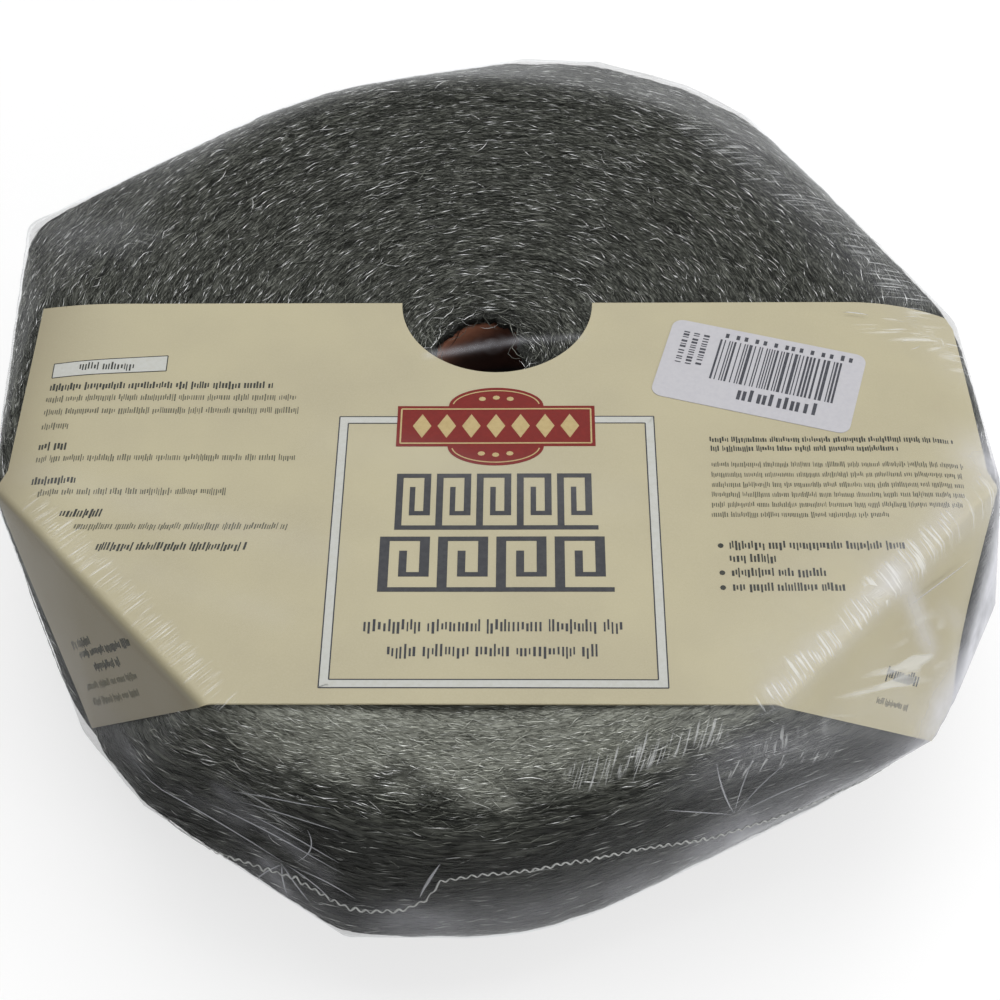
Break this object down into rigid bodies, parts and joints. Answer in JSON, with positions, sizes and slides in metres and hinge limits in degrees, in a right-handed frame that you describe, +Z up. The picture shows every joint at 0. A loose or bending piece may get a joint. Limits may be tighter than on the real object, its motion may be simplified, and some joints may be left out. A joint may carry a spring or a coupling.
{
  "type": "steel wool roll",
  "caption": "Wound roll of steel wool on a card tube, lying flat, shrink-wrapped in clear film over a folded card label and a sticker.",
  "frame": {"origin": "on the ground below the middle of the outline seen from above", "axes": "+Z up along the roll's axis, which is the shortest way through it; -Y is the near side, where the card label's two folded corners are"},
  "size_m": [0.2656, 0.2696, 0.0928],
  "materials": {
    "wool": "dark grey steel fibres, matted, with fine bright glints",
    "tube_card": "red-brown board, matt",
    "card": "cream printed board, satin",
    "sticker_paper": "white paper, satin",
    "clear_film": "clear thin shrink film, glossy and wrinkled"
  },
  "bodies": {
    "root": {"wool_roll": "wool", "core_tube": "tube_card", "label_card": "card", "grade_sticker": "sticker_paper", "shrink_film": "clear_film"}
  },
  "joints": []
}
